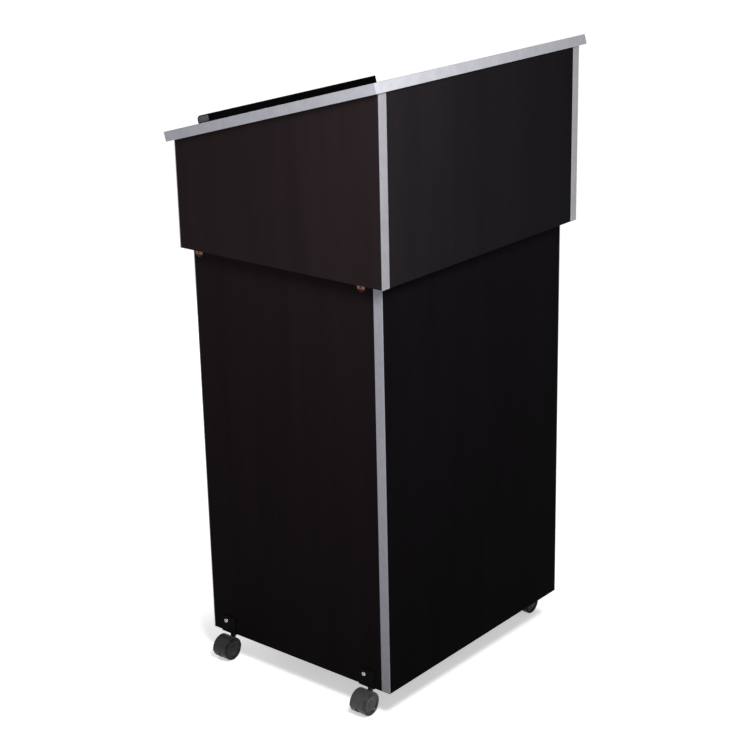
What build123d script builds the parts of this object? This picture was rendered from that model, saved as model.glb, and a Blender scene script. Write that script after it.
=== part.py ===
from build123d import *
import os
from math import cos, radians, sin, tan

# Rolling two-section presentation lectern.
# Frame: origin on the floor under the middle of the outline, +Z up, X across the width.
# The audience is in front, at -Y; the speaker stands behind, at +Y, where both sections are open.
# "Left" is -X and "right" is +X.

# ---------------------------------------------------------------------- driving dimensions, mm
BOARD = 19.0  # thickness of every upright and level board
BAND = 2.0  # thickness of the silver edge strips
BAND_ROUND = 0.8  # rounding of a strip's outer edges

# Reading top
TOP_WIDTH = 610.0
TOP_THICK = 18.0
SLOPE = 15.3  # degrees, falling towards the speaker
TOP_FRONT_OVERHANG = 7.0  # along the slope
TOP_REAR_OVERHANG = 5.5

# Book stop
STOP_LENGTH = 470.0
STOP_DEPTH = 31.0
STOP_HEIGHT = 14.0
STOP_SETBACK = 19.0  # from the low edge of the top, along the slope
STOP_BACK_ROUND = 8.0
STOP_FRONT_ROUND = 1.5
STOP_WALL = 1.8  # rim left round each end plug
PLUG_LENGTH = 10.0
PLUG_INSET = 0.3  # plug face behind the rim

# Upper section
UPPER_WIDTH = 581.0
UPPER_DEPTH = 477.0
UPPER_FRONT_RISE = 329.0  # its front, up to the underside of the top
FRONT_INSET = 0.5  # front board behind the strips beside it

# Base section
BASE_WIDTH = 536.0
BASE_DEPTH = 445.0
BASE_RISE = 776.0
BASE_SETBACK = 21.0  # base front behind the upper front
REAR_INSET = 6.0  # level boards short of the rear edges
BASE_FLOOR_LIFT = 14.5  # floor board above the lower edges
SHELF_HEIGHT = 392.5  # shelf underside above the lower edges
SHELF_GAP = 2.0  # between a shelf end and the side
SHELF_REAR_INSET = 30.0

# Casters
CASTER_HEIGHT = 52.0  # floor to the lower edges of the base
WHEEL_RADIUS = 21.8
WHEEL_OUTER = 17.4  # axle middle to a wheel's outer rim
WHEEL_INNER = 3.65  # axle middle to a wheel's inner face
TRAIL = 18.5  # axle behind the stem
HOOD_CLEARANCE = 0.5
HOOD_THICK = 1.5
HOOD_HALF = 15.5
HOOD_SKIRT = 3.0  # hood edge below the axle
PLATE_RADIUS = 20.1
PLATE_HALF = 3.25
NECK_RADIUS = 5.0
STEM_RADIUS = 4.0
STEM_SINK = 8.0  # stem pressed into the neck
AXLE_RADIUS = 3.0
AXLE_HALF = 15.0
AXLE_END_GAP = 0.3
STEM_SHOWING = 3.2  # bright stem between the neck and its socket
STEM_TIP_GAP = 1.0
STEM_CHAMFER = 0.8
RUNNING_FIT = 0.05  # radial clearance of the stem and of the wheels
STEM_FRONT_INSET = 54.0  # stem behind the base front
STEM_REAR_INSET = 40.5  # stem ahead of the base rear

# Wheel faces, from the tread inwards: rounded rim, groove, raised ring, shallow dish and hub cap
RIM_ROUND = 1.5
GROOVE_OUTER = 19.4
GROOVE_DEPTH = 1.0
RING_OUTER = 18.0
RING_INNER = 15.6
RING_RISE = 0.6
RING_ROUND = 0.5
DISH_OUTER = 15.0
DISH_DEPTH = 0.5
DISH_INNER = 7.8
HUB_RADIUS = 7.0
HUB_RISE = 0.7
HUB_ROUND = 0.3

# Caster brackets and stem sockets
BRACKET_THICK = 2.0
BRACKET_WIDTH = 36.0
BRACKET_CORNER = 4.0
BEND_ROUND = 1.8
BRACKET_RISE = 34.0  # plate top above the lower edges
BRACKET_BOLT_SHIFT = 4.5  # bolt behind the stem
SOCKET_RADIUS = 6.0
SOCKET_LENGTH = 17.0
FLANGE_RADIUS = 8.5
FLANGE_THICK = 1.5

# Bolts and barrel nuts
BOLT_RADIUS = 3.0
BOLT_LENGTH = 50.0
BOLT_HOLE = 3.2
DECK_HEAD_RADIUS = 9.0
DECK_HEAD_THICK = 2.6
DECK_HEAD_ROUND = 2.4
DECK_BOLT_INSETS = (44.5, 429.5)  # behind the base front
BRACKET_HEAD_RADIUS = 4.2
BRACKET_HEAD_THICK = 2.8
BRACKET_HEAD_ROUND = 2.0
KEY_RADIUS = 1.8  # hexagon socket, across corners
KEY_DEPTH = 3.2
NUT_RADIUS = 5.0
NUT_LENGTH = 13.0
NUT_INSET = 25.0  # from the board's end
NUT_BORE_DEPTH = 16.2
NUT_SLOT_WIDTH = 1.4
NUT_SLOT_DEPTH = 1.6
BOLT_BORE_SPARE = 4.0  # bore past the far side of the nut

# Cam locks, cam bolts and dowels
CAM_RADIUS = 7.5
CAM_DEPTH = 12.5
CAM_INSET = 34.0  # cam centre from the joint
CAM_BOLT_RADIUS = 3.4
CAM_NECK_RADIUS = 2.0
CAM_THREAD_RADIUS = 2.5
CAM_THREAD = 10.0
CAM_BORE_SLACK = 0.2
CAM_CROSS_LENGTH = 8.0
CAM_CROSS_WIDTH = 1.8
CAM_CROSS_DEPTH = 2.0
DOWEL_RADIUS = 4.0
DOWEL_IN_FACE = 11.0
DOWEL_IN_EDGE = 19.0
DOWEL_CHAMFER = 0.8
CAM_NECK_FROM = 6.0  # the cam bolt's neck and its tip, back from the cam's centre
CAM_TIP_FROM = 2.0
CAM_TIP_PAST = 1.0
SLACK = 0.05  # round a pressed or screwed part
BORE_SPARE = 0.5  # a blind bore past the end of what it holds
BORE_OVERLAP = 2.0  # a bore into the one that it meets
TOP_CAM_RUNS = (95.0, 395.0)  # down the slope from the front
UPPER_FRONT_CAM_RISES = (70.0, 255.0)  # above the deck
UPPER_FRONT_DOWEL_RISE = 162.0
UPPER_FLOOR_CAM_DEPTHS = (-130.0, 150.0)  # front to rear, from the middle
LEVEL_DOWEL_DEPTH = 10.0
BASE_FRONT_CAM_HEIGHTS = (190.0, 440.0, 690.0)  # above the floor
BASE_FRONT_DOWEL_HEIGHTS = (315.0, 565.0)

# Screws and shelf pins
SCREW_RADIUS = 2.0
SCREW_HEAD_RADIUS = 4.0
STOP_SCREW_LENGTH = 26.0
STOP_SCREW_SPACING = 190.0
COUNTERSINK_HALF_ANGLE = 41.0
SECTION_SCREW_RADIUS = 2.25
SECTION_SCREW_HEAD = 5.0
SECTION_SCREW_HEAD_THICK = 2.6
SECTION_SCREW_BITE = 14.0
SECTION_SCREW_ROUND = 1.6
SECTION_SCREW_COLUMNS = (-190.0, 190.0)
SECTION_SCREW_DEPTHS = (-120.0, 150.0)
CROSS_LENGTH = 5.0  # cross slot in a screw head
CROSS_WIDTH = 1.0
CROSS_DEPTH = 1.4
PIN_RADIUS = 2.5
PIN_IN_SIDE = 9.0
PIN_OUT = 9.0
PIN_COLLAR_RADIUS = 4.0
PIN_COLLAR_THICK = 1.5
PIN_ROWS = 7
PIN_PITCH = 32.0
PIN_COLUMNS = (-125.0, 165.0)

# ---------------------------------------------------------------------- worked-out places
lean = radians(SLOPE)
outline_depth = UPPER_DEPTH + (TOP_FRONT_OVERHANG + TOP_REAR_OVERHANG) * cos(lean) + TOP_THICK * sin(lean)
upper_front = -outline_depth / 2 + TOP_FRONT_OVERHANG * cos(lean)
upper_rear = upper_front + UPPER_DEPTH
base_front = upper_front + BASE_SETBACK
base_rear = base_front + BASE_DEPTH

base_bottom = CASTER_HEIGHT
base_deck = base_bottom + BASE_RISE
upper_front_top = base_deck + UPPER_FRONT_RISE

upper_half = UPPER_WIDTH / 2
upper_inside = upper_half - BOARD
upper_middle = upper_half - BOARD / 2  # middle plane of an upper side
base_half = BASE_WIDTH / 2
base_inside = base_half - BOARD

base_floor_low = base_bottom + BASE_FLOOR_LIFT
base_top_low = base_deck - BOARD
shelf_low = base_bottom + SHELF_HEIGHT
pin_height = shelf_low - PIN_RADIUS

# Planes of the reading top: x across, y down the slope towards the speaker, z out of the surface.
under_top = Plane(origin=(0, upper_front, upper_front_top), x_dir=(1, 0, 0), z_dir=(0, sin(lean), cos(lean)))
top_run = UPPER_DEPTH / cos(lean)
top_high = -TOP_FRONT_OVERHANG
top_low = top_run + TOP_REAR_OVERHANG

SIDES = ((-1, "left"), (1, "right"))
ENDS = (("front", base_front + STEM_FRONT_INSET), ("rear", base_rear - STEM_REAR_INSET))

stem_x = base_half - BOARD / 2  # also the middle plane of a base side
neck_top = CASTER_HEIGHT - BRACKET_THICK - FLANGE_THICK - STEM_SHOWING
stem_top = base_bottom + SOCKET_LENGTH - STEM_TIP_GAP
hood_inner = WHEEL_RADIUS + HOOD_CLEARANCE
hood_outer = hood_inner + HOOD_THICK
above_skirt = (2 * hood_outer, 2 * hood_outer)
FROM_BELOW = (Align.CENTER, Align.MIN)


def under_top_height(y):
    """Height of the reading top's underside at a given depth."""
    return upper_front_top - (y - upper_front) * tan(lean)


def distance_across(edge):
    """How far an edge lies from the middle plane, on either side."""
    return round(abs(edge.center().X), 2)


def near(value, target):
    return abs(value - target) < 0.01


def save(piece, name):
    """Label a finished piece and write it as its own node."""
    piece.part.label = name
    export_step(piece.part, f"parts/{name}.step")


def cross_slot(length, width):
    """A driver's cross, drawn into the sketch being built."""
    Rectangle(length, width)
    Rectangle(width, length)


def drill(*bores):
    """Sink blind round bores into the piece being built: each is (planes, radius, depth)."""
    for planes, radius, depth in bores:
        with Locations(*planes):
            Hole(radius, depth)


# ---------------------------------------------------------------------- joints between the boards
def cam_joint(start, into, face):
    """One cam joint: a bolt in one board's face runs into the next board's edge, to a cam in its face."""
    start, into, face = Vector(*start), Vector(*into), Vector(*face)
    cam_centre = start + into * CAM_INSET + face * (BOARD / 2)
    return {
        "pilot": Plane(origin=start, z_dir=into),
        "edge": Plane(origin=start, z_dir=-into),
        "cam": Plane(origin=cam_centre, x_dir=into, z_dir=face),
    }


def dowel_joint(start, into):
    """One dowel: part of it in a board's face, the rest in the next board's edge."""
    return {"face": Plane(origin=start, z_dir=into), "edge": Plane(origin=start, z_dir=Vector(*into) * -1)}


def pilots(joints):
    return [joint["pilot"] for joint in joints], CAM_THREAD_RADIUS + SLACK, CAM_THREAD + BORE_SPARE


def cam_edges(joints):
    depth = CAM_INSET - CAM_RADIUS + BORE_OVERLAP
    return [joint["edge"] for joint in joints], CAM_BOLT_RADIUS + CAM_BORE_SLACK, depth


def cam_bores(joints):
    return [joint["cam"] for joint in joints], CAM_RADIUS + SLACK, CAM_DEPTH + BORE_SPARE


def dowel_faces(joints):
    return [joint["face"] for joint in joints], DOWEL_RADIUS + SLACK, DOWEL_IN_FACE + BORE_SPARE


def dowel_edges(joints):
    return [joint["edge"] for joint in joints], DOWEL_RADIUS + SLACK, DOWEL_IN_EDGE + BORE_SPARE


slab_down = (0, -sin(lean), -cos(lean))
top_cams = {
    side: [
        cam_joint(under_top.from_local_coords((side * upper_middle, run, 0)), slab_down, (-side, 0, 0))
        for run in TOP_CAM_RUNS
    ]
    for side, _ in SIDES
}
upper_front_middle = upper_front + FRONT_INSET + BOARD / 2
upper_front_cams = {
    side: [
        cam_joint((side * upper_inside, upper_front_middle, base_deck + rise), (-side, 0, 0), (0, 1, 0))
        for rise in UPPER_FRONT_CAM_RISES
    ]
    for side, _ in SIDES
}
upper_floor_cams = {
    side: [
        cam_joint((side * upper_inside, depth, base_deck + BOARD / 2), (-side, 0, 0), (0, 0, -1))
        for depth in UPPER_FLOOR_CAM_DEPTHS
    ]
    for side, _ in SIDES
}
base_front_cams = {
    side: [
        cam_joint((side * stem_x, base_front + BOARD, height), (0, 1, 0), (-side, 0, 0))
        for height in BASE_FRONT_CAM_HEIGHTS
    ]
    for side, _ in SIDES
}
upper_dowel_height = base_deck + UPPER_FRONT_DOWEL_RISE
upper_front_dowels = {
    side: [dowel_joint((side * upper_inside, upper_front_middle, upper_dowel_height), (-side, 0, 0))]
    for side, _ in SIDES
}
upper_floor_dowels = {
    side: [dowel_joint((side * upper_inside, LEVEL_DOWEL_DEPTH, base_deck + BOARD / 2), (-side, 0, 0))]
    for side, _ in SIDES
}
base_front_dowels = {
    side: [
        dowel_joint((side * stem_x, base_front + BOARD, height), (0, 1, 0))
        for height in BASE_FRONT_DOWEL_HEIGHTS
    ]
    for side, _ in SIDES
}
base_level_dowels = {
    side: [
        dowel_joint((side * base_inside, LEVEL_DOWEL_DEPTH, low + BOARD / 2), (-side, 0, 0))
        for low in (base_floor_low, base_top_low)
    ]
    for side, _ in SIDES
}


def both(joints):
    """The joints of both sides in one list."""
    return joints[-1] + joints[1]


all_cams = both(top_cams) + both(upper_front_cams) + both(upper_floor_cams) + both(base_front_cams)
all_dowels = (
    both(upper_front_dowels) + both(upper_floor_dowels) + both(base_front_dowels) + both(base_level_dowels)
)

# Bolts run in from the outside of the base sides to barrel nuts in the level boards.
deck_bolt_height = base_top_low + BOARD / 2
bracket_bolt_height = base_floor_low + BOARD / 2
deck_bolts_at = {
    side: [
        Plane(origin=(side * base_half, base_front + inset, deck_bolt_height), z_dir=(side, 0, 0))
        for inset in DECK_BOLT_INSETS
    ]
    for side, _ in SIDES
}
bracket_bolts_at = {
    side: [
        Plane(
            origin=(side * (base_half + BRACKET_THICK), stem_y + BRACKET_BOLT_SHIFT, bracket_bolt_height),
            z_dir=(side, 0, 0),
        )
        for _, stem_y in ENDS
    ]
    for side, _ in SIDES
}


def nut_plane(bolt, side):
    """Underside of the level board, at the axis of the bolt's barrel nut."""
    return Plane(
        origin=(side * (base_inside - NUT_INSET), bolt.origin.Y, bolt.origin.Z - BOARD / 2), z_dir=(0, 0, -1)
    )


deck_nuts_at = [nut_plane(bolt, side) for side, _ in SIDES for bolt in deck_bolts_at[side]]
bracket_nuts_at = [nut_plane(bolt, side) for side, _ in SIDES for bolt in bracket_bolts_at[side]]

section_screws_at = [
    Plane(origin=(x, y, base_top_low), z_dir=(0, 0, -1))
    for x in SECTION_SCREW_COLUMNS
    for y in SECTION_SCREW_DEPTHS
]
stop_middle = top_low - STOP_SETBACK - STOP_DEPTH / 2
stop_screws_at = [
    Plane(origin=under_top.from_local_coords((x, stop_middle, 0)), z_dir=slab_down)
    for x in (-STOP_SCREW_SPACING, 0.0, STOP_SCREW_SPACING)
]

os.makedirs("parts", exist_ok=True)

# ---------------------------------------------------------------------- reading top
core_half = TOP_WIDTH / 2 - BAND
with BuildPart() as reading_top:
    with BuildSketch(under_top):
        with Locations((0, (top_high + top_low) / 2)):
            Rectangle(2 * core_half, top_low - top_high - 2 * BAND)
    extrude(amount=TOP_THICK)
    drill(pilots(both(top_cams)))
    with Locations(*stop_screws_at):
        CounterSinkHole(SCREW_RADIUS + SLACK, SCREW_HEAD_RADIUS + 2 * SLACK, depth=TOP_THICK)
save(reading_top, "reading_top")

# Silver strips round the top, mitred at the corners: each is a long trapezium seen from above.
top_half = TOP_WIDTH / 2
outer_corners = ((-top_half, top_high), (top_half, top_high), (top_half, top_low), (-top_half, top_low))
inner_high, inner_low = top_high + BAND, top_low - BAND
inner_corners = (
    (-core_half, inner_high),
    (core_half, inner_high),
    (core_half, inner_low),
    (-core_half, inner_low),
)
for place, first in (("front", 0), ("right", 1), ("rear", 2), ("left", 3)):
    second = (first + 1) % 4
    with BuildPart() as top_band:
        with BuildSketch(under_top):
            with BuildLine():
                Polyline(
                    outer_corners[first],
                    outer_corners[second],
                    inner_corners[second],
                    inner_corners[first],
                    close=True,
                )
            make_face()
        extrude(amount=TOP_THICK)
        outer_edges = top_band.edges().sort_by(SortBy.LENGTH)[-2:]
        fillet(outer_edges, BAND_ROUND)
    save(top_band, f"top_band_{place}")

# ---------------------------------------------------------------------- book stop
# Its section, seen from the right: u down the slope, v out of the surface.
stop_section = Plane(
    origin=under_top.from_local_coords((-STOP_LENGTH / 2, stop_middle, TOP_THICK)),
    x_dir=(0, cos(lean), -sin(lean)),
    z_dir=(1, 0, 0),
)


def stop_profile(inset):
    """The stop's section, flat below and rounded above, drawn smaller all round by an inset."""
    with BuildSketch(Plane.XY) as profile:
        with Locations((0, inset)):
            Rectangle(STOP_DEPTH - 2 * inset, STOP_HEIGHT - 2 * inset, align=FROM_BELOW)
        back_corner = profile.vertices().group_by(Axis.Y)[-1].sort_by(Axis.X)[-1]
        fillet(back_corner, STOP_BACK_ROUND - inset)
        front_corner = profile.vertices().group_by(Axis.Y)[-1].sort_by(Axis.X)[0]
        fillet(front_corner, STOP_FRONT_ROUND)
    return profile.sketch


with BuildPart() as book_stop:
    with BuildSketch(stop_section):
        add(stop_profile(0.0))
    extrude(amount=STOP_LENGTH)
    with BuildSketch(stop_section, stop_section.offset(STOP_LENGTH - PLUG_LENGTH)):
        add(stop_profile(STOP_WALL))
    extrude(amount=PLUG_LENGTH, mode=Mode.SUBTRACT)
    screw_mouths = [plane.offset(-TOP_THICK) for plane in stop_screws_at]
    drill((screw_mouths, SCREW_RADIUS + SLACK, STOP_SCREW_LENGTH - TOP_THICK + BORE_SPARE))
save(book_stop, "book_stop")

plug_starts = {"left": PLUG_INSET, "right": STOP_LENGTH - PLUG_LENGTH}
for hand, plug_start in plug_starts.items():
    with BuildPart() as stop_plug:
        with BuildSketch(stop_section.offset(plug_start)):
            add(stop_profile(STOP_WALL))
        extrude(amount=PLUG_LENGTH - PLUG_INSET)
    save(stop_plug, f"stop_plug_{hand}")

countersink_height = (SCREW_HEAD_RADIUS - SCREW_RADIUS) / tan(radians(COUNTERSINK_HALF_ANGLE))
with BuildPart() as stop_screws:
    for plane in stop_screws_at:
        with BuildSketch(plane):
            Circle(SCREW_RADIUS)
        extrude(amount=-STOP_SCREW_LENGTH)
        with Locations(plane):
            Cone(
                SCREW_RADIUS,
                SCREW_HEAD_RADIUS,
                countersink_height,
                align=(Align.CENTER, Align.CENTER, Align.MAX),
            )
    for plane in stop_screws_at:
        with BuildSketch(plane):
            cross_slot(CROSS_LENGTH, CROSS_WIDTH)
        extrude(amount=-CROSS_DEPTH, mode=Mode.SUBTRACT)
save(stop_screws, "stop_screws")

# ---------------------------------------------------------------------- upper section
for side, hand in SIDES:
    front_edge = upper_front + BAND
    rear_edge = upper_rear - BAND
    with BuildPart() as upper_side:
        with BuildSketch(Plane.YZ.offset(side * upper_middle)):
            with BuildLine():
                Polyline(
                    (front_edge, base_deck),
                    (rear_edge, base_deck),
                    (rear_edge, under_top_height(rear_edge)),
                    (front_edge, under_top_height(front_edge)),
                    close=True,
                )
            make_face()
        extrude(amount=BOARD / 2, both=True)
        drill(
            cam_edges(top_cams[side]),
            cam_bores(top_cams[side]),
            pilots(upper_front_cams[side]),
            pilots(upper_floor_cams[side]),
            dowel_faces(upper_front_dowels[side]),
            dowel_faces(upper_floor_dowels[side]),
        )
    save(upper_side, f"upper_side_{hand}")

with BuildPart() as upper_front_board:
    face_y = upper_front + FRONT_INSET
    back_y = face_y + BOARD
    with BuildSketch(Plane.YZ):
        with BuildLine():
            Polyline(
                (face_y, base_deck),
                (back_y, base_deck),
                (back_y, under_top_height(back_y)),
                (face_y, under_top_height(face_y)),
                close=True,
            )
        make_face()
    extrude(amount=upper_inside, both=True)
    drill(
        cam_edges(both(upper_front_cams)),
        cam_bores(both(upper_front_cams)),
        dowel_edges(both(upper_front_dowels)),
    )
save(upper_front_board, "upper_front")

with BuildPart() as upper_floor:
    floor_front = upper_front + FRONT_INSET + BOARD
    floor_rear = upper_rear - REAR_INSET
    with BuildSketch(Plane.XY.offset(base_deck)):
        with Locations((0, (floor_front + floor_rear) / 2)):
            Rectangle(2 * upper_inside, floor_rear - floor_front)
    extrude(amount=BOARD)
    drill(
        cam_edges(both(upper_floor_cams)),
        cam_bores(both(upper_floor_cams)),
        dowel_edges(both(upper_floor_dowels)),
    )
    screw_mouths = [plane.offset(-BOARD) for plane in section_screws_at]
    drill((screw_mouths, SECTION_SCREW_RADIUS + SLACK, SECTION_SCREW_BITE + BORE_SPARE))
save(upper_floor, "upper_floor")


def edge_strip(x_middle, front, rear, low, high_at, outer_edge):
    """A silver strip on a side board's upright edge, its outer corners rounded along its length."""
    with BuildPart() as strip:
        with BuildSketch(Plane.YZ.offset(x_middle)):
            with BuildLine():
                Polyline(
                    (front, low),
                    (rear, low),
                    (rear, high_at(rear)),
                    (front, high_at(front)),
                    close=True,
                )
            make_face()
        extrude(amount=BOARD / 2, both=True)
        fillet(strip.edges().filter_by(Axis.Z).group_by(Axis.Y)[outer_edge], BAND_ROUND)
    return strip


FRONT_EDGE, REAR_EDGE = 0, -1
for side, hand in SIDES:
    upper_band = edge_strip(
        side * upper_middle, upper_front, upper_front + BAND, base_deck, under_top_height, FRONT_EDGE
    )
    save(upper_band, f"upper_band_{hand}")


def strip_pair(x_middle, front, rear, low, high_at):
    """The same strip on the rear edges of both side boards."""
    with BuildPart() as pair:
        for side, _ in SIDES:
            add(edge_strip(side * x_middle, front, rear, low, high_at, REAR_EDGE).part)
    return pair


upper_rear_bands = strip_pair(upper_middle, upper_rear - BAND, upper_rear, base_deck, under_top_height)
save(upper_rear_bands, "upper_rear_bands")

# ---------------------------------------------------------------------- base section
pin_columns_at = {
    side: [
        Plane(origin=(side * base_inside, depth, pin_height + row * PIN_PITCH), z_dir=(-side, 0, 0))
        for depth in PIN_COLUMNS
        for row in range(-(PIN_ROWS // 2), PIN_ROWS // 2 + 1)
    ]
    for side, _ in SIDES
}
pins_at = [
    Plane(origin=(side * base_inside, depth, pin_height), z_dir=(-side, 0, 0))
    for side, _ in SIDES
    for depth in PIN_COLUMNS
]
socket_mouths = {
    side: [Plane(origin=(side * stem_x, stem_y, base_bottom), z_dir=(0, 0, -1)) for _, stem_y in ENDS]
    for side, _ in SIDES
}

for side, hand in SIDES:
    bolt_mouths = deck_bolts_at[side] + [plane.offset(-BRACKET_THICK) for plane in bracket_bolts_at[side]]
    with BuildPart() as base_side:
        with BuildSketch(Plane.YZ.offset(side * stem_x)):
            with Locations(((base_front + BOARD + base_rear - BAND) / 2, (base_bottom + base_deck) / 2)):
                Rectangle(BASE_DEPTH - BOARD - BAND, BASE_RISE)
        extrude(amount=BOARD / 2, both=True)
        drill(
            cam_edges(base_front_cams[side]),
            cam_bores(base_front_cams[side]),
            dowel_edges(base_front_dowels[side]),
            dowel_faces(base_level_dowels[side]),
            (bolt_mouths, BOLT_HOLE, BOARD),
            (pin_columns_at[side], PIN_RADIUS + SLACK, PIN_IN_SIDE + BORE_SPARE),
            (socket_mouths[side], SOCKET_RADIUS + SLACK, SOCKET_LENGTH + BORE_SPARE),
        )
    save(base_side, f"base_side_{hand}")

with BuildPart() as base_front_board:
    with BuildSketch(Plane.XZ.offset(-base_front)):
        with Locations((0, (base_bottom + base_deck) / 2)):
            Rectangle(BASE_WIDTH - 2 * BAND, BASE_RISE)
    extrude(amount=-BOARD)
    drill(pilots(both(base_front_cams)), dowel_faces(both(base_front_dowels)))
save(base_front_board, "base_front")

for side, hand in SIDES:
    with BuildPart() as base_band:
        with BuildSketch(Plane.XY.offset(base_bottom)):
            with Locations((side * (base_half - BAND / 2), base_front + BOARD / 2)):
                Rectangle(BAND, BOARD)
        extrude(amount=BASE_RISE)
        upright_edges = base_band.edges().filter_by(Axis.Z).sort_by(Axis.X)
        outer_edges = upright_edges[:2] if side < 0 else upright_edges[-2:]
        fillet(outer_edges, BAND_ROUND)
    save(base_band, f"base_band_{hand}")

base_rear_bands = strip_pair(stem_x, base_rear - BAND, base_rear, base_bottom, lambda y: base_deck)
save(base_rear_bands, "base_rear_bands")


def level_board(half_width, front, rear, low, *bores):
    """A level board of the base, bored for the pieces that hold it."""
    with BuildPart() as board:
        with BuildSketch(Plane.XY.offset(low)):
            with Locations((0, (front + rear) / 2)):
                Rectangle(2 * half_width, rear - front)
        extrude(amount=BOARD)
        drill(*bores)
    return board


def bolt_bores(bolts, nuts):
    """Bores of one level board: along each bolt in from the ends, and up from below for each nut."""
    ends = [
        Plane(origin=(side * base_inside, bolt.origin.Y, bolt.origin.Z), z_dir=(side, 0, 0))
        for side, _ in SIDES
        for bolt in bolts[side]
    ]
    depth = NUT_INSET + NUT_RADIUS + BOLT_BORE_SPARE
    return (ends, BOLT_HOLE, depth), (nuts, NUT_RADIUS + SLACK, NUT_BORE_DEPTH)


top_dowels = [both(base_level_dowels)[index] for index in (1, 3)]
floor_dowels = [both(base_level_dowels)[index] for index in (0, 2)]
base_inner_front = base_front + BOARD
base_top = level_board(
    base_inside,
    base_inner_front,
    base_rear - REAR_INSET,
    base_top_low,
    *bolt_bores(deck_bolts_at, deck_nuts_at),
    dowel_edges(top_dowels),
    (section_screws_at, SECTION_SCREW_RADIUS + 2 * SLACK, BOARD),
)
save(base_top, "base_top")
base_floor = level_board(
    base_inside,
    base_inner_front,
    base_rear - REAR_INSET,
    base_floor_low,
    *bolt_bores(bracket_bolts_at, bracket_nuts_at),
    dowel_edges(floor_dowels),
)
save(base_floor, "base_floor")
base_shelf = level_board(
    base_inside - SHELF_GAP, base_inner_front + SHELF_GAP, base_rear - SHELF_REAR_INSET, shelf_low
)
save(base_shelf, "base_shelf")

# ---------------------------------------------------------------------- fasteners
with BuildPart() as shelf_pins:
    for plane in pins_at:
        with BuildSketch(plane.offset(-PIN_IN_SIDE)):
            Circle(PIN_RADIUS)
        extrude(amount=PIN_IN_SIDE + PIN_OUT)
        with BuildSketch(plane):
            Circle(PIN_COLLAR_RADIUS)
        extrude(amount=PIN_COLLAR_THICK)
save(shelf_pins, "shelf_pins")

CAM_BOLT_STEPS = (
    (-CAM_THREAD, 0.0, CAM_THREAD_RADIUS),
    (0.0, CAM_INSET - CAM_NECK_FROM, CAM_BOLT_RADIUS),
    (CAM_INSET - CAM_NECK_FROM, CAM_INSET - CAM_TIP_FROM, CAM_NECK_RADIUS),
    (CAM_INSET - CAM_TIP_FROM, CAM_INSET + CAM_TIP_PAST, CAM_BOLT_RADIUS),
)
with BuildPart() as cam_bolts:
    for joint in all_cams:
        for start, end, radius in CAM_BOLT_STEPS:
            with BuildSketch(joint["pilot"].offset(start)):
                Circle(radius)
            extrude(amount=end - start)
save(cam_bolts, "cam_bolts")

with BuildPart() as cam_locks:
    for joint in all_cams:
        with BuildSketch(joint["cam"]):
            Circle(CAM_RADIUS)
        extrude(amount=-CAM_DEPTH)
    for joint in all_cams:
        with BuildSketch(joint["cam"]):
            cross_slot(CAM_CROSS_LENGTH, CAM_CROSS_WIDTH)
        extrude(amount=-CAM_CROSS_DEPTH, mode=Mode.SUBTRACT)
    cross_bores = [joint["edge"] for joint in all_cams]
    drill((cross_bores, CAM_BOLT_RADIUS + CAM_BORE_SLACK, CAM_INSET + BORE_OVERLAP))
save(cam_locks, "cam_locks")

with BuildPart() as dowels:
    for joint in all_dowels:
        with BuildSketch(joint["face"].offset(-DOWEL_IN_FACE)):
            Circle(DOWEL_RADIUS)
        extrude(amount=DOWEL_IN_FACE + DOWEL_IN_EDGE)
    chamfer(dowels.edges().filter_by(GeomType.CIRCLE), DOWEL_CHAMFER)
save(dowels, "dowels")


def socket_bolts(planes, head_radius, head_thick, head_round):
    """Bolts with round heads and hexagon sockets, each running in along its plane's -Z."""
    with BuildPart() as group:
        for plane in planes:
            with BuildSketch(plane):
                Circle(head_radius)
            extrude(amount=head_thick)
        rims = group.edges().filter_by(GeomType.CIRCLE)
        fillet(rims.group_by(distance_across)[-1], head_round)
        for plane in planes:
            with BuildSketch(plane):
                Circle(BOLT_RADIUS)
            extrude(amount=-BOLT_LENGTH)
        for plane in planes:
            with BuildSketch(plane.offset(head_thick)):
                RegularPolygon(KEY_RADIUS, 6)
            extrude(amount=-KEY_DEPTH, mode=Mode.SUBTRACT)
    return group


deck_bolts = socket_bolts(both(deck_bolts_at), DECK_HEAD_RADIUS, DECK_HEAD_THICK, DECK_HEAD_ROUND)
save(deck_bolts, "deck_bolts")
bracket_bolts = socket_bolts(
    both(bracket_bolts_at), BRACKET_HEAD_RADIUS, BRACKET_HEAD_THICK, BRACKET_HEAD_ROUND
)
save(bracket_bolts, "bracket_bolts")

with BuildPart() as barrel_nuts:
    for plane in deck_nuts_at + bracket_nuts_at:
        with BuildSketch(plane.offset(-BOARD / 2 - NUT_LENGTH / 2)):
            Circle(NUT_RADIUS)
        extrude(amount=NUT_LENGTH)
    for plane in deck_nuts_at + bracket_nuts_at:
        with BuildSketch(plane.offset(-BOARD / 2 + NUT_LENGTH / 2)):
            Rectangle(2 * NUT_RADIUS, NUT_SLOT_WIDTH)
        extrude(amount=-NUT_SLOT_DEPTH, mode=Mode.SUBTRACT)
    cross_bores = [
        Plane(origin=plane.offset(-BOARD / 2).origin, z_dir=(1, 0, 0)).offset(NUT_RADIUS)
        for plane in deck_nuts_at + bracket_nuts_at
    ]
    drill((cross_bores, BOLT_RADIUS + SLACK, 2 * NUT_RADIUS))
save(barrel_nuts, "barrel_nuts")

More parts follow.
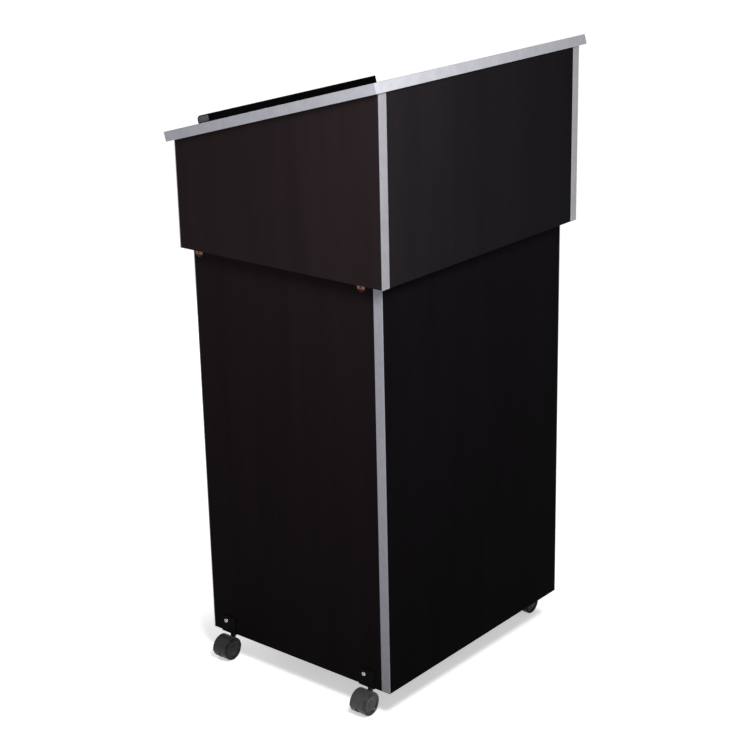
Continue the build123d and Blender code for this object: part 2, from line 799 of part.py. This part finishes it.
with BuildPart() as section_screws:
    for plane in section_screws_at:
        with BuildSketch(plane):
            Circle(SECTION_SCREW_HEAD)
        extrude(amount=SECTION_SCREW_HEAD_THICK)
        with BuildSketch(plane):
            Circle(SECTION_SCREW_RADIUS)
        extrude(amount=-(BOARD + SECTION_SCREW_BITE))
    heads = section_screws.edges().filter_by(GeomType.CIRCLE).group_by(Axis.Z)[0]
    fillet(heads, SECTION_SCREW_ROUND)
    for plane in section_screws_at:
        with BuildSketch(plane.offset(SECTION_SCREW_HEAD_THICK)):
            cross_slot(CROSS_LENGTH, CROSS_WIDTH)
        extrude(amount=-CROSS_DEPTH, mode=Mode.SUBTRACT)
save(section_screws, "section_screws")

# ---------------------------------------------------------------------- caster brackets and stem sockets
bracket_low = base_bottom - BRACKET_THICK
for end, stem_y in ENDS:
    for side, hand in SIDES:
        outer_x = side * (base_half + BRACKET_THICK)
        plate_x = side * base_half
        inner_x = side * base_inside
        plate_high = base_bottom + BRACKET_RISE
        with BuildPart() as bracket:
            with BuildSketch(Plane.XZ.offset(-stem_y)):
                with BuildLine():
                    Polyline(
                        (inner_x, bracket_low),
                        (outer_x, bracket_low),
                        (outer_x, plate_high),
                        (plate_x, plate_high),
                        (plate_x, base_bottom),
                        (inner_x, base_bottom),
                        close=True,
                    )
                make_face()
            extrude(amount=BRACKET_WIDTH / 2, both=True)
            across = bracket.edges().filter_by(Axis.X)
            fillet(across.group_by(Axis.Z)[-1], BRACKET_CORNER)
            low_edges = bracket.edges().filter_by(Axis.Y).group_by(Axis.Z)[0]
            fillet(low_edges.sort_by(distance_across)[-1], BEND_ROUND)
            socket_hole = Plane(origin=(side * stem_x, stem_y, bracket_low), z_dir=(0, 0, -1))
            bolt_y = stem_y + BRACKET_BOLT_SHIFT
            bolt_hole = Plane(origin=(outer_x, bolt_y, bracket_bolt_height), z_dir=(side, 0, 0))
            drill(
                ([socket_hole], SOCKET_RADIUS + SLACK, BRACKET_THICK),
                ([bolt_hole], BOLT_HOLE, BRACKET_THICK),
            )
        save(bracket, f"bracket_{end}_{hand}")

stems_at = [(side * stem_x, stem_y) for side, _ in SIDES for _, stem_y in ENDS]
with BuildPart() as stem_sockets:
    for x, y in stems_at:
        with BuildSketch(Plane(origin=(x, y, bracket_low))):
            Circle(FLANGE_RADIUS)
        extrude(amount=-FLANGE_THICK)
        with BuildSketch(Plane(origin=(x, y, bracket_low))):
            Circle(SOCKET_RADIUS)
        extrude(amount=BRACKET_THICK + SOCKET_LENGTH)
    stem_mouths = [Plane(origin=(x, y, bracket_low - FLANGE_THICK), z_dir=(0, 0, -1)) for x, y in stems_at]
    drill((stem_mouths, STEM_RADIUS + RUNNING_FIT, FLANGE_THICK + BRACKET_THICK + SOCKET_LENGTH))
save(stem_sockets, "stem_sockets")

# ---------------------------------------------------------------------- casters
# Half of a wheel's section: (distance from the axle's middle, radius), from the closed end of the bore
# round the inner face, the tread, the groove, the ring and the dish to the hub cap.
bore_radius = AXLE_RADIUS + RUNNING_FIT
bore_end = AXLE_HALF + AXLE_END_GAP
WHEEL_PROFILE = (
    (bore_end, 0.0),
    (bore_end, bore_radius),
    (WHEEL_INNER, bore_radius),
    (WHEEL_INNER, WHEEL_RADIUS),
    (WHEEL_OUTER, WHEEL_RADIUS),
    (WHEEL_OUTER, GROOVE_OUTER),
    (WHEEL_OUTER - GROOVE_DEPTH, GROOVE_OUTER),
    (WHEEL_OUTER - GROOVE_DEPTH, RING_OUTER),
    (WHEEL_OUTER + RING_RISE, RING_OUTER),
    (WHEEL_OUTER + RING_RISE, RING_INNER),
    (WHEEL_OUTER - DISH_DEPTH, DISH_OUTER),
    (WHEEL_OUTER, DISH_INNER),
    (WHEEL_OUTER, HUB_RADIUS),
    (WHEEL_OUTER + HUB_RISE, HUB_RADIUS),
    (WHEEL_OUTER + HUB_RISE, 0.0),
)
# Which of its circles are rounded, by radius.
WHEEL_ROUNDS = (
    (WHEEL_RADIUS, RIM_ROUND),
    (RING_OUTER, RING_ROUND),
    (RING_INNER, RING_ROUND),
    (HUB_RADIUS, HUB_ROUND),
)

for end, stem_y in ENDS:
    for side, hand in SIDES:
        x = side * stem_x
        axle = Plane(origin=(x - TRAIL, stem_y, WHEEL_RADIUS), x_dir=(1, 0, 0), z_dir=(0, -1, 0))

        # One moulding: web between the wheels, hood over them, rib under the hood and neck round the stem.
        with BuildPart() as caster_body:
            with BuildSketch(axle):
                Circle(hood_outer)
                with Locations((0, -HOOD_SKIRT)):
                    Rectangle(*above_skirt, align=FROM_BELOW, mode=Mode.INTERSECT)
                Circle(PLATE_RADIUS)
            extrude(amount=PLATE_HALF, both=True)
            with BuildSketch(axle):
                Circle(hood_outer)
                Circle(hood_inner, mode=Mode.SUBTRACT)
                with Locations((0, -HOOD_SKIRT)):
                    Rectangle(*above_skirt, align=FROM_BELOW, mode=Mode.INTERSECT)
            extrude(amount=HOOD_HALF, both=True)
            with BuildSketch(Plane(origin=(x, stem_y, WHEEL_RADIUS))):
                Circle(NECK_RADIUS)
            extrude(amount=neck_top - WHEEL_RADIUS)
            for out in (-1, 1):
                with BuildSketch(axle.offset(out * PLATE_HALF)):
                    Circle(hood_inner)
                extrude(amount=out * HOOD_HALF, mode=Mode.SUBTRACT)
            drill(
                ([Plane(origin=(x, stem_y, neck_top))], STEM_RADIUS, STEM_SINK),
                ([axle.offset(PLATE_HALF)], AXLE_RADIUS, 2 * PLATE_HALF),
            )
        save(caster_body, f"caster_body_{end}_{hand}")

        with BuildPart() as caster_stem:
            with BuildSketch(Plane(origin=(x, stem_y, neck_top - STEM_SINK))):
                Circle(STEM_RADIUS)
            extrude(amount=stem_top - neck_top + STEM_SINK)
            chamfer(caster_stem.edges().group_by(Axis.Z)[-1], STEM_CHAMFER)
        save(caster_stem, f"caster_stem_{end}_{hand}")

        with BuildPart() as caster_axle:
            with BuildSketch(axle):
                Circle(AXLE_RADIUS)
            extrude(amount=AXLE_HALF, both=True)
        save(caster_axle, f"caster_axle_{end}_{hand}")

        for out, face in ((-1, "fore"), (1, "aft")):
            wheel_section = Plane(origin=axle.origin, x_dir=(0, out, 0), z_dir=(out, 0, 0))
            with BuildPart() as wheel:
                with BuildSketch(wheel_section):
                    with BuildLine():
                        Polyline(*WHEEL_PROFILE, close=True)
                    make_face()
                revolve(axis=Axis(axle.origin, (0, 1, 0)))
                circles = wheel.edges().filter_by(GeomType.CIRCLE)
                for circle_radius, edge_round in WHEEL_ROUNDS:
                    fillet(circles.filter_by(lambda edge: near(edge.radius, circle_radius)), edge_round)
            save(wheel, f"wheel_{end}_{hand}_{face}")
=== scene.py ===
import math

import bpy
from mathutils import Matrix, Vector


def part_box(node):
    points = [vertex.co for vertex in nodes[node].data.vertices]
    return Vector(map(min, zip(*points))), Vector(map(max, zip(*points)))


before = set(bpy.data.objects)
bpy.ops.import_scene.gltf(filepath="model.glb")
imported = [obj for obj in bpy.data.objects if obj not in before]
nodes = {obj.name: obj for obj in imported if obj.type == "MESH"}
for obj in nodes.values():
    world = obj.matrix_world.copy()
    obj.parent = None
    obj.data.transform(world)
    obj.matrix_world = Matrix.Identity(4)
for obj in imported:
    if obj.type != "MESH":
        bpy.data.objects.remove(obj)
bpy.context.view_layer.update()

MM = 0.001
# ------------------------------------------------------------------ camera
# Solved once from the straight edges of both sections: a long lens, above and to the audience's left.
CAMERA_AT = Vector((-2.4556, -2.0291, 1.6662))
AZIMUTH = math.radians(-50.11)
ELEVATION = math.radians(19.34)
ROLL = math.radians(-1.254)
SENSOR = 36.0
FOCAL = 84.61
FAR_CLIP = 50.0


def look(azimuth, elevation, roll):
    """The camera's turn: azimuth 0 looks along +Y, elevation looks down, roll turns about the view."""
    back = Vector(
        (
            math.sin(azimuth) * math.cos(elevation),
            -math.cos(azimuth) * math.cos(elevation),
            math.sin(elevation),
        )
    )
    right = (-back).cross(Vector((0, 0, 1))).normalized()
    up = back.cross(right)
    turn = Matrix((right, up, back)).transposed()
    return turn @ Matrix.Rotation(roll, 3, "Z")


lens = bpy.data.cameras.new("camera")
lens.sensor_width = SENSOR
lens.lens = FOCAL
lens.clip_end = FAR_CLIP
camera = bpy.data.objects.new("camera", lens)
camera.matrix_world = Matrix.Translation(CAMERA_AT) @ look(AZIMUTH, ELEVATION, ROLL).to_4x4()
bpy.context.scene.collection.objects.link(camera)
bpy.context.scene.camera = camera


# ------------------------------------------------------------------ material tools
NOISE_LOW, NOISE_HIGH = 0.3, 0.7  # nearly all of a noise's values lie between these
PORE_LOW, PORE_HIGH = 0.4, 0.52  # the part of the pore noise that the bump uses
PORE_DEPTH = 0.05 * MM
GRAIN_DEPTH = 0.01 * MM
SPARK_DEPTH = 0.04 * MM
PEEL_DEPTH = 0.05 * MM


def shades(base, dark, light):
    """The darkest and lightest of a finish, each as a share of its base colour."""
    return tuple(value * dark for value in base), tuple(value * light for value in base)


class Shader:
    """A node material in the making: short names for the nodes that every finish here uses."""

    def __init__(self, name, roughness, metallic=0.0, specular=0.5):
        self.material = bpy.data.materials.new(name)
        self.material.use_nodes = True
        self.tree = self.material.node_tree
        self.surface = self.tree.nodes["Principled BSDF"]
        self.surface.inputs["Roughness"].default_value = roughness
        self.surface.inputs["Metallic"].default_value = metallic
        self.surface.inputs["Specular IOR Level"].default_value = specular
        self.place = self.tree.nodes.new("ShaderNodeTexCoord").outputs["Object"]

    def link(self, source, target):
        self.tree.links.new(source, target)

    def stretched(self, scale):
        """Object coordinates, scaled by a different amount along each axis."""
        mapping = self.tree.nodes.new("ShaderNodeMapping")
        mapping.inputs["Scale"].default_value = scale
        self.link(self.place, mapping.inputs["Vector"])
        return mapping.outputs["Vector"]

    def noise(self, scale, detail=4.0, roughness=0.55, distortion=0.0):
        """Noise in object space; scale is in features per metre along each axis."""
        texture = self.tree.nodes.new("ShaderNodeTexNoise")
        texture.inputs["Scale"].default_value = 1.0
        texture.inputs["Detail"].default_value = detail
        texture.inputs["Roughness"].default_value = roughness
        texture.inputs["Distortion"].default_value = distortion
        self.link(self.stretched(scale), texture.inputs["Vector"])
        return texture.outputs["Fac"]

    def ramp(self, value, stops):
        """A colour ramp: stops are (position, colour) with plain RGB."""
        node = self.tree.nodes.new("ShaderNodeValToRGB")
        elements = node.color_ramp.elements
        while len(elements) < len(stops):
            elements.new(0.5)
        for element, (position, colour) in zip(elements, stops):
            element.position = position
            element.color = (*colour, 1.0)
        self.link(value, node.inputs["Fac"])
        return node.outputs["Color"]

    def span(self, value, low, high, start=0.0, end=1.0):
        """A value taken from the range start..end to low..high."""
        node = self.tree.nodes.new("ShaderNodeMapRange")
        node.inputs["From Min"].default_value = start
        node.inputs["From Max"].default_value = end
        node.inputs["To Min"].default_value = low
        node.inputs["To Max"].default_value = high
        self.link(value, node.inputs["Value"])
        return node.outputs["Result"]

    def spread(self, noise, low, high):
        """A noise taken from its usual range to low..high."""
        return self.span(noise, low, high, NOISE_LOW, NOISE_HIGH)

    def coordinate(self, axis):
        """One object coordinate, in metres."""
        node = self.tree.nodes.new("ShaderNodeSeparateXYZ")
        self.link(self.place, node.inputs["Vector"])
        return node.outputs[axis]

    def drifted(self, colour, drift):
        """A colour that slowly changes its tone along one axis: drift is None, or the axis and the two
        (place, tone) ends, in metres and as a share of the colour."""
        if drift is None:
            return colour
        axis, (start, first), (end, last) = drift
        node = self.tree.nodes.new("ShaderNodeVectorMath")
        node.operation = "SCALE"
        self.link(colour, node.inputs[0])
        self.link(self.span(self.coordinate(axis), first, last, start, end), node.inputs["Scale"])
        return node.outputs["Vector"]

    def add(self, first, second):
        node = self.tree.nodes.new("ShaderNodeMath")
        node.operation = "ADD"
        self.link(first, node.inputs[0])
        self.link(second, node.inputs[1])
        return node.outputs["Value"]

    def colour(self, source):
        self.link(source, self.surface.inputs["Base Color"])

    def rough(self, source):
        self.link(source, self.surface.inputs["Roughness"])

    def bump(self, height, distance):
        """Raise the surface by distance, in metres, where height is one."""
        node = self.tree.nodes.new("ShaderNodeBump")
        node.inputs["Distance"].default_value = distance
        self.link(height, node.inputs["Height"])
        self.link(node.outputs["Normal"], self.surface.inputs["Normal"])


def laminate(name, grain_axis, base, specular, drift=None):
    """Black-brown wood-grain melamine: a long soft figure, fine pores and a low, slightly uneven sheen.
    grain_axis is the axis along which the grain runs; drift is as for Shader.drifted."""
    shader = Shader(name, 0.5, specular=specular)
    along = "XYZ".index(grain_axis)
    figure_scale = [22.0, 22.0, 22.0]
    figure_scale[along] = 1.8
    pore_scale = [1100.0, 1100.0, 1100.0]
    pore_scale[along] = 60.0
    figure = shader.noise(figure_scale, detail=6.0, distortion=0.6)
    pores = shader.noise(pore_scale, detail=3.0, roughness=0.6)
    shade = shader.add(shader.spread(figure, 0.0, 0.6), shader.spread(pores, 0.0, 0.4))
    dark, light = shades(base, 0.87, 1.13)
    shader.colour(shader.drifted(shader.ramp(shade, [(0.1, dark), (0.9, light)]), drift))
    shader.rough(shader.span(shade, 0.56, 0.44))
    shader.bump(shader.span(pores, 0.0, 1.0, PORE_LOW, PORE_HIGH), PORE_DEPTH)
    return shader.material


def silver_band(name, base, drift=None):
    """Silver edge banding: satin lacquer over a faint long brushed grain."""
    shader = Shader(name, 0.42, metallic=0.15, specular=0.2)
    soft = shader.noise((60.0, 60.0, 60.0), detail=3.0)
    grain = shader.noise((1400.0, 1400.0, 90.0), detail=2.0)
    dark, light = shades(base, 0.93, 1.05)
    colour = shader.ramp(shader.spread(soft, 0.0, 1.0), [(0.0, dark), (1.0, light)])
    shader.colour(shader.drifted(colour, drift))
    shader.rough(shader.spread(grain, 0.32, 0.48))
    shader.bump(grain, GRAIN_DEPTH)
    return shader.material


def moulded(name, base, roughness, specular, drift=None):
    """Moulded plastic: fine spark-eroded texture, with a little uneven sheen."""
    shader = Shader(name, roughness, specular=specular)
    soft = shader.noise((90.0, 90.0, 90.0), detail=3.0)
    fine = shader.noise((2600.0, 2600.0, 2600.0), detail=2.0)
    dark, light = shades(base, 0.85, 1.15)
    colour = shader.ramp(shader.spread(soft, 0.0, 1.0), [(0.0, dark), (1.0, light)])
    shader.colour(shader.drifted(colour, drift))
    shader.rough(shader.spread(soft, roughness - 0.06, roughness + 0.06))
    shader.bump(fine, SPARK_DEPTH)
    return shader.material


def metal(name, base, roughness):
    """Plated steel: clear metal with a fine turned grain and faint handling marks."""
    shader = Shader(name, roughness, metallic=1.0)
    soft = shader.noise((120.0, 120.0, 120.0), detail=3.0)
    fine = shader.noise((3000.0, 3000.0, 900.0), detail=2.0)
    dark, light = shades(base, 0.8, 1.0)
    shader.colour(shader.ramp(shader.spread(soft, 0.0, 1.0), [(0.0, dark), (1.0, light)]))
    shader.rough(shader.spread(fine, roughness - 0.08, roughness + 0.1))
    shader.bump(fine, GRAIN_DEPTH)
    return shader.material


def painted_highlight_metal(name, highlight_colour, shade_colour, roughness, low, high):
    """Plated steel, with a painted highlight above and painted shade below: low and high are the heights,
    in metres, between which it turns."""
    shader = Shader(name, roughness, metallic=1.0)
    soft = shader.noise((400.0, 400.0, 400.0), detail=3.0)
    upward = shader.span(shader.coordinate("Z"), 0.0, 0.8, low, high)
    highlight_and_mottle = shader.add(upward, shader.spread(soft, 0.0, 0.2))
    shader.colour(shader.ramp(highlight_and_mottle, [(0.1, shade_colour), (0.9, highlight_colour)]))
    shader.rough(shader.spread(soft, roughness - 0.06, roughness + 0.1))
    return shader.material


def powder(name, base):
    """Powder coat: orange-peel skin over pressed steel."""
    shader = Shader(name, 0.45, specular=0.01)
    peel = shader.noise((900.0, 900.0, 900.0), detail=2.0)
    dark, light = shades(base, 1.0, 1.4)
    shader.colour(shader.ramp(shader.spread(peel, 0.0, 1.0), [(0.0, dark), (1.0, light)]))
    shader.rough(shader.spread(peel, 0.38, 0.55))
    shader.bump(peel, PEEL_DEPTH)
    return shader.material


def dress(material, *names):
    """Give CAD nodes their finish."""
    for name in names:
        node = nodes[name]
        node.data.materials.clear()
        node.data.materials.append(material)


# ------------------------------------------------------------------ finishes
# A drift is painted light and shade, a slow change of tone: its axis, then the (place, tone) at each of its
# ends.
base_low, base_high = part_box("base_front")
# Painted shade: the base boards darken towards the floor, away from the lamps above.
BASE_PAINTED_SHADE = ("Z", (base_low.z + 48 * MM, 0.6), (base_high.z - 28 * MM, 1.2))
# Painted shade: the base bands darken towards the floor as well.
BAND_PAINTED_SHADE = ("Z", (base_low.z + 48 * MM, 0.74), (base_low.z + 448 * MM, 1.04))
# Painted shade: the upper front darkens towards the right, away from the key light.
FRONT_PAINTED_SHADE = ("X", (-300 * MM, 1.0), (300 * MM, 0.7))
# Painted shade: the casters darken towards the floor, under the base.
CASTER_PAINTED_SHADE = ("Z", (0.0, 0.4), (35 * MM, 1.15))

# Copies of one black laminate, each toned for the light its boards get: painted light and shade, darkest on
# the base front.
dress(
    laminate("laminate_upper_side", "Z", (0.0112, 0.0075, 0.0083), 0.01),
    "upper_side_left",
    "upper_side_right",
)
dress(laminate("laminate_upper_front", "Z", (0.0082, 0.0068, 0.0082), 0.006, FRONT_PAINTED_SHADE), "upper_front")
dress(
    laminate("laminate_base_side", "Z", (0.007, 0.005, 0.0056), 0.004, BASE_PAINTED_SHADE),
    "base_side_left",
    "base_side_right",
)
dress(laminate("laminate_base_front", "Z", (0.0032, 0.0026, 0.0032), 0.003, BASE_PAINTED_SHADE), "base_front")
dress(laminate("laminate_level", "X", (0.0088, 0.007, 0.0078), 0.03), "reading_top")
# The inside boards are a lighter copy of the same laminate: painted light in the deep bays.
dress(
    laminate("laminate_inside", "X", (0.02, 0.0162, 0.0172), 0.06),
    "upper_floor",
    "base_top",
    "base_floor",
    "base_shelf",
)

# Copies of one silver banding, each toned for the light its bands get: painted light and shade, darker on
# the left bands.
dress(silver_band("silver_top", (0.29, 0.292, 0.318)), "top_band_front", "top_band_rear", "top_band_right")
dress(silver_band("silver_top_left", (0.245, 0.247, 0.275)), "top_band_left")
dress(silver_band("silver_upper_left", (0.19, 0.187, 0.204)), "upper_band_left")
dress(silver_band("silver_upper", (0.25, 0.248, 0.27)), "upper_band_right", "upper_rear_bands")
dress(
    silver_band("silver_base", (0.193, 0.192, 0.222), BAND_PAINTED_SHADE),
    "base_band_left",
    "base_band_right",
    "base_rear_bands",
)

dress(moulded("stop_black", (0.0017, 0.0016, 0.0019), 0.4, 0.01), "book_stop")
dress(moulded("stop_grey", (0.085, 0.08, 0.082), 0.6, 0.3), "stop_plug_left", "stop_plug_right")

bolts_low, bolts_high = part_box("deck_bolts")
bolt_height = (bolts_low.z + bolts_high.z) / 2
# Painted highlight on the deck bolts: a light band along their top, with painted shade below it.
BOLT_PAINTED_HIGHLIGHT = (0.17, 0.085, 0.068)
BOLT_PAINTED_SHADE = (0.03, 0.005, 0.003)
dress(
    painted_highlight_metal("copper_plate", BOLT_PAINTED_HIGHLIGHT, BOLT_PAINTED_SHADE, 0.25, bolt_height - 4.7 * MM, bolt_height - 1.7 * MM),
    "deck_bolts",
)
dress(metal("yellow_zinc", (0.62, 0.56, 0.5), 0.2), "bracket_bolts")
zinc = metal("zinc_plate", (0.62, 0.63, 0.65), 0.35)
dress(zinc, "cam_locks", "cam_bolts", "barrel_nuts", "section_screws", "stop_screws")
dress(zinc, "shelf_pins", "stem_sockets")
dress(laminate("dowel_beech", "X", (0.52, 0.37, 0.22), 0.015), "dowels")

bracket_black = powder("bracket_powder", (0.0026, 0.0024, 0.0028))
# Hood tone, wheel tone and sheen of each caster, copies of one nylon: painted shade makes the ones in the
# shade of the base darker and duller, and painted light makes the front-left one the lightest.
CASTERS = {
    "front_left": (0.045, 0.024, 0.26),
    "front_right": (0.014, 0.006, 0.08),
    "rear_left": (0.026, 0.008, 0.18),
    "rear_right": (0.026, 0.008, 0.18),
}


def caster_tone(value):
    """A neutral grey, very slightly warm."""
    return value, value * 0.98, value


for corner, (hood, wheel, sheen) in CASTERS.items():
    hood_grey = moulded(f"caster_nylon_{corner}", caster_tone(hood), 0.3, sheen * 0.8, CASTER_PAINTED_SHADE)
    wheel_grey = moulded(f"wheel_nylon_{corner}", caster_tone(wheel), 0.26, sheen, CASTER_PAINTED_SHADE)
    dress(bracket_black, f"bracket_{corner}")
    dress(hood_grey, f"caster_body_{corner}")
    dress(zinc, f"caster_stem_{corner}", f"caster_axle_{corner}")
    dress(wheel_grey, f"wheel_{corner}_fore", f"wheel_{corner}_aft")

# ------------------------------------------------------------------ softened edges
BOARD_EASE = 0.35 * MM
HOOD_EASE = 0.5 * MM
BRACKET_EASE = 0.25 * MM
SHARPEST_LEFT = math.radians(40)


def soften(name, width):
    """Ease the sharp edges of a CAD node, as the tool that trims the laminate or the mould does."""
    bevel = nodes[name].modifiers.new("eased_edges", "BEVEL")
    bevel.width = width
    bevel.segments = 2
    bevel.limit_method = "ANGLE"
    bevel.angle_limit = SHARPEST_LEFT
    bevel.harden_normals = True


for board in (
    "reading_top",
    "upper_side_left",
    "upper_side_right",
    "upper_front",
    "upper_floor",
    "base_side_left",
    "base_side_right",
    "base_front",
    "base_top",
    "base_floor",
    "base_shelf",
):
    soften(board, BOARD_EASE)
for corner in CASTERS:
    soften(f"caster_body_{corner}", HOOD_EASE)
    soften(f"bracket_{corner}", BRACKET_EASE)


# ------------------------------------------------------------------ floor, backdrop and light
FLOOR_GLOW = 0.5  # the floor is lit from below as well, which keeps it white and its shadows soft
FLOOR_SIZE = 90.0
WORLD_STRENGTH = 0.35
WHITE = (1.0, 1.0, 1.0, 1.0)


def floor_material():
    shader = Shader("studio_floor", 0.9, specular=0.0)
    tone = shader.noise((1.5, 1.5, 1.5), detail=2.0)
    shader.colour(shader.ramp(tone, [(0.0, (0.83, 0.83, 0.83)), (1.0, (0.87, 0.87, 0.87))]))
    shader.surface.inputs["Emission Color"].default_value = WHITE
    shader.surface.inputs["Emission Strength"].default_value = FLOOR_GLOW
    return shader.material


bpy.ops.mesh.primitive_plane_add(size=FLOOR_SIZE, location=(0.0, 0.0, 0.0))
floor = bpy.context.object
floor.name = "studio_floor"
floor.data.materials.append(floor_material())

world = bpy.data.worlds.new("studio")
world.use_nodes = True
background = world.node_tree.nodes["Background"]
background.inputs["Color"].default_value = WHITE
background.inputs["Strength"].default_value = WORLD_STRENGTH
bpy.context.scene.world = world


def light_holder(name, light, at, aim):
    """Put a light in the scene, turned towards a point and unseen by the camera itself."""
    holder = bpy.data.objects.new(name, light)
    holder.location = at
    holder.rotation_euler = (Vector(aim) - Vector(at)).to_track_quat("-Z", "Y").to_euler()
    holder.visible_camera = False
    bpy.context.scene.collection.objects.link(holder)


def panel(name, at, aim, size, power):
    """A soft box light, turned towards a point."""
    light = bpy.data.lights.new(name, "AREA")
    light.shape = "RECTANGLE"
    light.size, light.size_y = size
    light.energy = power
    light_holder(name, light, at, aim)


def overhead(name, at, strength, spread):
    """An even light that shines from a point towards the origin, its shadows softened by its spread in
    degrees."""
    light = bpy.data.lights.new(name, "SUN")
    light.energy = strength
    light.angle = math.radians(spread)
    light_holder(name, light, at, (0.0, 0.0, 0.0))


panel("key", (-0.75, -0.85, 1.5), (-0.2, -0.15, 1.0), (0.4, 0.4), 22.0)
panel("bay_fill", (1.1, 2.1, 1.1), (0.0, 0.2, 0.65), (0.9, 0.9), 16.0)
overhead("ceiling", (0.85, -0.5, 6.0), 0.85, 5.0)

bpy.context.scene.view_settings.view_transform = "Standard"
